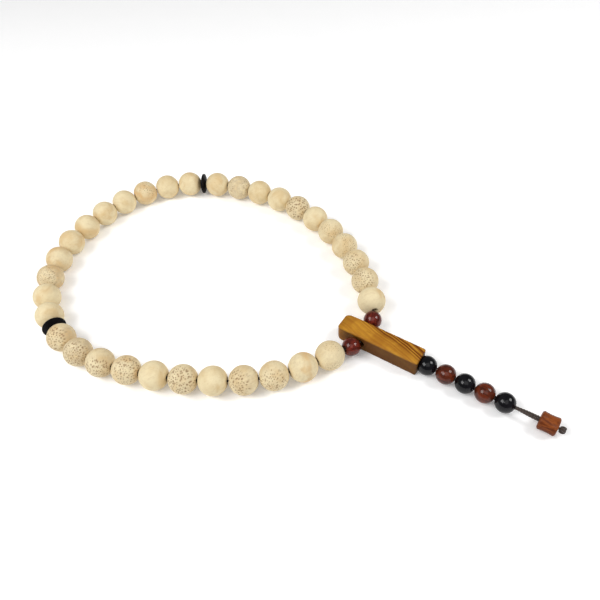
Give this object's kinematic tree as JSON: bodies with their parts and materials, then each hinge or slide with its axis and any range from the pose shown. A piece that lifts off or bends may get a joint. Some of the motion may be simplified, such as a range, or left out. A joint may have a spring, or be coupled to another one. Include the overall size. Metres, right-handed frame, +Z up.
{
  "type": "misbaha prayer beads",
  "caption": "Loop of pale wooden prayer beads with dark disc separators, a long wooden head bead and a short beaded tail ending in a barrel bead and a knot.",
  "frame": {"origin": "on the head bead's underside, below the crossing of its two bores", "axes": "+Z up from the surface it lies on, +Y from the head bead towards the far side of the loop, the tail runs along -Y, +X along the head bead's cross bore"},
  "size_m": [0.1114, 0.1989, 0.01],
  "materials": {
    "loop_bead": "matte, pored cane-like wood",
    "separator": "satin black",
    "spacer": "polished deep red-brown",
    "head_bead": "satin, two-tone grain",
    "cord": "twisted cord",
    "tail_black": "polished black",
    "tail_red": "polished red-brown",
    "barrel": "satin red-brown"
  },
  "bodies": {
    "head": {"head_bead": "head_bead", "tail_cord_head": "cord"},
    "loop_front": {"loop_cord_front": "cord"},
    "loop_strip_1": {"loop_cord_right_1": "cord", "loop_cord_left_1": "cord"},
    "loop_strip_2": {"loop_cord_right_2": "cord", "loop_cord_left_2": "cord"},
    "loop_strip_3": {"loop_cord_right_3": "cord", "loop_cord_left_3": "cord"},
    "loop_back": {"loop_cord_back": "cord"},
    "bead_01": {"bead_01": "loop_bead"},
    "bead_02": {"bead_02": "loop_bead"},
    "bead_03": {"bead_03": "loop_bead"},
    "bead_04": {"bead_04": "loop_bead"},
    "bead_05": {"bead_05": "loop_bead"},
    "bead_06": {"bead_06": "loop_bead"},
    "bead_07": {"bead_07": "loop_bead"},
    "bead_08": {"bead_08": "loop_bead"},
    "bead_09": {"bead_09": "loop_bead"},
    "bead_10": {"bead_10": "loop_bead"},
    "bead_11": {"bead_11": "loop_bead"},
    "separator_1": {"separator_1": "separator"},
    "bead_12": {"bead_12": "loop_bead"},
    "bead_13": {"bead_13": "loop_bead"},
    "bead_14": {"bead_14": "loop_bead"},
    "bead_15": {"bead_15": "loop_bead"},
    "bead_16": {"bead_16": "loop_bead"},
    "bead_17": {"bead_17": "loop_bead"},
    "bead_18": {"bead_18": "loop_bead"},
    "bead_19": {"bead_19": "loop_bead"},
    "bead_20": {"bead_20": "loop_bead"},
    "bead_21": {"bead_21": "loop_bead"},
    "bead_22": {"bead_22": "loop_bead"},
    "separator_2": {"separator_2": "separator"},
    "bead_23": {"bead_23": "loop_bead"},
    "bead_24": {"bead_24": "loop_bead"},
    "bead_25": {"bead_25": "loop_bead"},
    "bead_26": {"bead_26": "loop_bead"},
    "bead_27": {"bead_27": "loop_bead"},
    "bead_28": {"bead_28": "loop_bead"},
    "bead_29": {"bead_29": "loop_bead"},
    "bead_30": {"bead_30": "loop_bead"},
    "bead_31": {"bead_31": "loop_bead"},
    "bead_32": {"bead_32": "loop_bead"},
    "bead_33": {"bead_33": "loop_bead"},
    "spacer_bead_right": {"spacer_bead_right": "spacer"},
    "spacer_bead_left": {"spacer_bead_left": "spacer"},
    "tail_bead_1": {"tail_bead_1": "tail_black"},
    "tail_link_1": {"tail_cord_2": "cord"},
    "tail_bead_2": {"tail_bead_2": "tail_red"},
    "tail_link_2": {"tail_cord_3": "cord"},
    "tail_bead_3": {"tail_bead_3": "tail_black"},
    "tail_link_3": {"tail_cord_4": "cord"},
    "tail_bead_4": {"tail_bead_4": "tail_red"},
    "tail_link_4": {"tail_cord_5": "cord"},
    "tail_bead_5": {"tail_bead_5": "tail_black"},
    "tail_end": {"tail_cord_end": "cord", "end_knot": "cord"},
    "barrel_bead": {"barrel_bead": "barrel"}
  },
  "joints": [
    {"name": "loop_swing", "type": "hinge", "parent": "head", "child": "loop_front", "pos_m": [0, 0, 0.0035], "axis": [1, 0, 0], "range_deg": [-150, 150]},
    {"name": "loop_fold_1", "type": "hinge", "parent": "loop_front", "child": "loop_strip_1", "pos_m": [0.03565, 0.03228, 0.005], "axis": [-0.9986, -0.0533, 0], "range_deg": [-18, 18]},
    {"name": "loop_fold_2", "type": "hinge", "parent": "loop_strip_1", "child": "loop_strip_2", "pos_m": [0.04217, 0.05117, 0.005], "axis": [-0.9984, -0.0573, 0], "range_deg": [-18, 18]},
    {"name": "loop_fold_3", "type": "hinge", "parent": "loop_strip_2", "child": "loop_strip_3", "pos_m": [0.04374, 0.0711, 0.005], "axis": [-0.998, -0.0625, 0], "range_deg": [-18, 18]},
    {"name": "loop_fold_4", "type": "hinge", "parent": "loop_strip_3", "child": "loop_back", "pos_m": [0.04025, 0.09079, 0.005], "axis": [-0.9981, -0.0621, 0], "range_deg": [-18, 18]},
    {"name": "bead_01_spin", "type": "hinge", "parent": "loop_front", "child": "bead_01", "pos_m": [0.01402, 0.00527, 0.005], "axis": [0.7431, 0.6691, 0], "continuous": true},
    {"name": "bead_02_spin", "type": "hinge", "parent": "loop_front", "child": "bead_02", "pos_m": [0.02129, 0.01203, 0.005], "axis": [0.6994, 0.7147, 0], "continuous": true},
    {"name": "bead_03_spin", "type": "hinge", "parent": "loop_front", "child": "bead_03", "pos_m": [0.02778, 0.01955, 0.005], "axis": [0.6042, 0.7968, 0], "continuous": true},
    {"name": "bead_04_spin", "type": "hinge", "parent": "loop_front", "child": "bead_04", "pos_m": [0.03327, 0.02782, 0.005], "axis": [0.4996, 0.8663, 0], "continuous": true},
    {"name": "bead_05_spin", "type": "hinge", "parent": "loop_strip_1", "child": "bead_05", "pos_m": [0.03774, 0.03688, 0.005], "axis": [0.3849, 0.923, 0], "continuous": true},
    {"name": "bead_06_spin", "type": "hinge", "parent": "loop_strip_1", "child": "bead_06", "pos_m": [0.04098, 0.04626, 0.005], "axis": [0.2661, 0.9639, 0], "continuous": true},
    {"name": "bead_07_spin", "type": "hinge", "parent": "loop_strip_2", "child": "bead_07", "pos_m": [0.04304, 0.05615, 0.005], "axis": [0.1409, 0.99, 0], "continuous": true},
    {"name": "bead_08_spin", "type": "hinge", "parent": "loop_strip_2", "child": "bead_08", "pos_m": [0.04382, 0.06605, 0.005], "axis": [0.0157, 0.9999, 0], "continuous": true},
    {"name": "bead_09_spin", "type": "hinge", "parent": "loop_strip_3", "child": "bead_09", "pos_m": [0.04333, 0.07614, 0.005], "axis": [-0.1121, 0.9937, 0], "continuous": true},
    {"name": "bead_10_spin", "type": "hinge", "parent": "loop_strip_3", "child": "bead_10", "pos_m": [0.0416, 0.08591, 0.005], "axis": [-0.2358, 0.9718, 0], "continuous": true},
    {"name": "bead_11_spin", "type": "hinge", "parent": "loop_back", "child": "bead_11", "pos_m": [0.03859, 0.09556, 0.005], "axis": [-0.3579, 0.9337, 0], "continuous": true},
    {"name": "separator_1_spin", "type": "hinge", "parent": "loop_back", "child": "separator_1", "pos_m": [0.03608, 0.10123, 0.005], "axis": [-0.4643, 0.8857, 0], "continuous": true},
    {"name": "bead_12_spin", "type": "hinge", "parent": "loop_back", "child": "bead_12", "pos_m": [0.03283, 0.1065, 0.005], "axis": [-0.5842, 0.8116, 0], "continuous": true},
    {"name": "bead_13_spin", "type": "hinge", "parent": "loop_back", "child": "bead_13", "pos_m": [0.02617, 0.11385, 0.005], "axis": [-0.751, 0.6603, 0], "continuous": true},
    {"name": "bead_14_spin", "type": "hinge", "parent": "loop_back", "child": "bead_14", "pos_m": [0.01803, 0.11951, 0.005], "axis": [-0.8797, 0.4755, 0], "continuous": true},
    {"name": "bead_15_spin", "type": "hinge", "parent": "loop_back", "child": "bead_15", "pos_m": [0.00884, 0.12322, 0.005], "axis": [-0.9607, 0.2777, 0], "continuous": true},
    {"name": "bead_16_spin", "type": "hinge", "parent": "loop_back", "child": "bead_16", "pos_m": [-0.00089, 0.12514, 0.005], "axis": [-0.9941, 0.1084, 0], "continuous": true},
    {"name": "bead_17_spin", "type": "hinge", "parent": "loop_back", "child": "bead_17", "pos_m": [-0.01081, 0.12537, 0.005], "axis": [-0.9979, -0.064, 0], "continuous": true},
    {"name": "bead_18_spin", "type": "hinge", "parent": "loop_back", "child": "bead_18", "pos_m": [-0.02061, 0.12388, 0.005], "axis": [-0.9721, -0.2346, 0], "continuous": true},
    {"name": "bead_19_spin", "type": "hinge", "parent": "loop_back", "child": "bead_19", "pos_m": [-0.03002, 0.12073, 0.005], "axis": [-0.9173, -0.3982, 0], "continuous": true},
    {"name": "bead_20_spin", "type": "hinge", "parent": "loop_back", "child": "bead_20", "pos_m": [-0.03866, 0.11586, 0.005], "axis": [-0.8128, -0.5825, 0], "continuous": true},
    {"name": "bead_21_spin", "type": "hinge", "parent": "loop_back", "child": "bead_21", "pos_m": [-0.04604, 0.10925, 0.005], "axis": [-0.6674, -0.7447, 0], "continuous": true},
    {"name": "bead_22_spin", "type": "hinge", "parent": "loop_back", "child": "bead_22", "pos_m": [-0.05181, 0.10119, 0.005], "axis": [-0.4903, -0.8715, 0], "continuous": true},
    {"name": "separator_2_spin", "type": "hinge", "parent": "loop_back", "child": "separator_2", "pos_m": [-0.05447, 0.09559, 0.005], "axis": [-0.3673, -0.9301, 0], "continuous": true},
    {"name": "bead_23_spin", "type": "hinge", "parent": "loop_back", "child": "bead_23", "pos_m": [-0.05635, 0.08968, 0.005], "axis": [-0.2375, -0.9714, 0], "continuous": true},
    {"name": "bead_24_spin", "type": "hinge", "parent": "loop_strip_3", "child": "bead_24", "pos_m": [-0.05765, 0.07967, 0.005], "axis": [-0.0175, -0.9998, 0], "continuous": true},
    {"name": "bead_25_spin", "type": "hinge", "parent": "loop_strip_3", "child": "bead_25", "pos_m": [-0.05674, 0.0698, 0.005], "axis": [0.1994, -0.9799, 0], "continuous": true},
    {"name": "bead_26_spin", "type": "hinge", "parent": "loop_strip_2", "child": "bead_26", "pos_m": [-0.05425, 0.06001, 0.005], "axis": [0.285, -0.9585, 0], "continuous": true},
    {"name": "bead_27_spin", "type": "hinge", "parent": "loop_strip_2", "child": "bead_27", "pos_m": [-0.05105, 0.05061, 0.005], "axis": [0.3601, -0.9329, 0], "continuous": true},
    {"name": "bead_28_spin", "type": "hinge", "parent": "loop_strip_1", "child": "bead_28", "pos_m": [-0.04703, 0.04133, 0.005], "axis": [0.4343, -0.9007, 0], "continuous": true},
    {"name": "bead_29_spin", "type": "hinge", "parent": "loop_strip_1", "child": "bead_29", "pos_m": [-0.04236, 0.03257, 0.005], "axis": [0.5045, -0.8634, 0], "continuous": true},
    {"name": "bead_30_spin", "type": "hinge", "parent": "loop_front", "child": "bead_30", "pos_m": [-0.03687, 0.02408, 0.005], "axis": [0.5978, -0.8017, 0], "continuous": true},
    {"name": "bead_31_spin", "type": "hinge", "parent": "loop_front", "child": "bead_31", "pos_m": [-0.03029, 0.01666, 0.005], "axis": [0.7236, -0.6902, 0], "continuous": true},
    {"name": "bead_32_spin", "type": "hinge", "parent": "loop_front", "child": "bead_32", "pos_m": [-0.02257, 0.01044, 0.005], "axis": [0.8291, -0.5592, 0], "continuous": true},
    {"name": "bead_33_spin", "type": "hinge", "parent": "loop_front", "child": "bead_33", "pos_m": [-0.014, 0.00541, 0.005], "axis": [0.8731, -0.4876, 0], "continuous": true},
    {"name": "spacer_bead_right_spin", "type": "hinge", "parent": "loop_front", "child": "spacer_bead_right", "pos_m": [0.00707, 0.00094, 0.00425], "axis": [0.9352, 0.277, 0.2206], "continuous": true},
    {"name": "spacer_bead_left_spin", "type": "hinge", "parent": "loop_front", "child": "spacer_bead_left", "pos_m": [-0.00677, 0.00149, 0.00425], "axis": [0.8644, -0.4486, -0.2271], "continuous": true},
    {"name": "tail_bead_1_spin", "type": "hinge", "parent": "head", "child": "tail_bead_1", "pos_m": [0, -0.0232, 0.0035], "axis": [0, 1, 0], "continuous": true},
    {"name": "tail_flex_1", "type": "hinge", "parent": "head", "child": "tail_link_1", "pos_m": [0, -0.0265, 0.0035], "axis": [0, 0, 1], "range_deg": [-18, 18]},
    {"name": "tail_bead_2_spin", "type": "hinge", "parent": "tail_link_1", "child": "tail_bead_2", "pos_m": [0, -0.0298, 0.00347], "axis": [0, -1, -0.0079], "continuous": true},
    {"name": "tail_flex_2", "type": "hinge", "parent": "tail_link_1", "child": "tail_link_2", "pos_m": [0, -0.0331, 0.00345], "axis": [1, 0, 0], "range_deg": [-18, 18]},
    {"name": "tail_bead_3_spin", "type": "hinge", "parent": "tail_link_2", "child": "tail_bead_3", "pos_m": [0, -0.0364, 0.00342], "axis": [0, -1, -0.0079], "continuous": true},
    {"name": "tail_flex_3", "type": "hinge", "parent": "tail_link_2", "child": "tail_link_3", "pos_m": [0, -0.0397, 0.0034], "axis": [0, 0, 1], "range_deg": [-18, 18]},
    {"name": "tail_bead_4_spin", "type": "hinge", "parent": "tail_link_3", "child": "tail_bead_4", "pos_m": [0, -0.043, 0.00337], "axis": [0, -1, -0.0079], "continuous": true},
    {"name": "tail_flex_4", "type": "hinge", "parent": "tail_link_3", "child": "tail_link_4", "pos_m": [0, -0.0463, 0.00334], "axis": [1, 0, 0], "range_deg": [-18, 18]},
    {"name": "tail_bead_5_spin", "type": "hinge", "parent": "tail_link_4", "child": "tail_bead_5", "pos_m": [0, -0.0496, 0.00332], "axis": [0, -1, -0.0079], "continuous": true},
    {"name": "tail_flex_5", "type": "hinge", "parent": "tail_link_4", "child": "tail_end", "pos_m": [0, -0.0529, 0.00329], "axis": [0, 0, 1], "range_deg": [-18, 18]},
    {"name": "barrel_slide", "type": "slide", "parent": "tail_end", "child": "barrel_bead", "axis": [0, 1, 0.0079], "range_m": [0, 0.007]}
  ]
}
